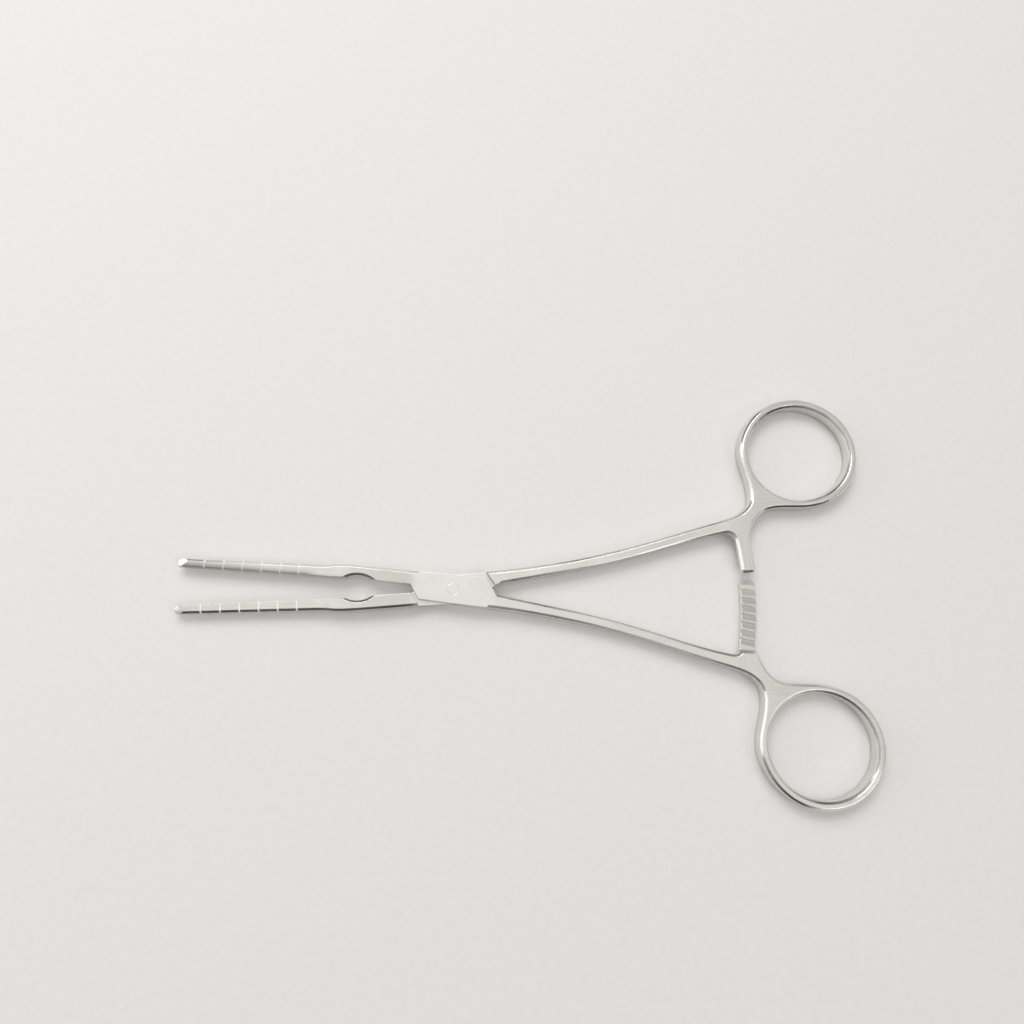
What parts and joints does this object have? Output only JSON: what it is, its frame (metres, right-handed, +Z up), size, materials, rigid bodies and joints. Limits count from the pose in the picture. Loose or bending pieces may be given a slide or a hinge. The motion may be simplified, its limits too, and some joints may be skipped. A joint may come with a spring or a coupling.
{
  "type": "vascular clamp",
  "caption": "Straight box-lock vascular clamp with graduated fine-toothed jaws, slim bowed shanks, a ratchet and finger rings, lying half open.",
  "frame": {"origin": "pivot axis of the box lock at the plane that the clamp lies on, on the underside of the box lock", "axes": "+X along the clamp's middle line from the pivot to the finger rings, so the jaws point to -X; +Y to the side of the male half's ring; +Z up, along the pivot axis, out of the upper face"},
  "size_m": [0.1959, 0.1192, 0.0046],
  "materials": {
    "female_steel": "satin",
    "male_steel": "satin",
    "pin_steel": "satin"
  },
  "bodies": {
    "female": {"female_half": "female_steel", "pivot_pin": "pin_steel"},
    "male": {"male_half": "male_steel"}
  },
  "joints": [
    {"name": "box_lock", "type": "hinge", "parent": "female", "child": "male", "pos_m": [0, 0, 0.0023], "axis": [0, 0, 1], "range_deg": [-7.9, 30]}
  ]
}
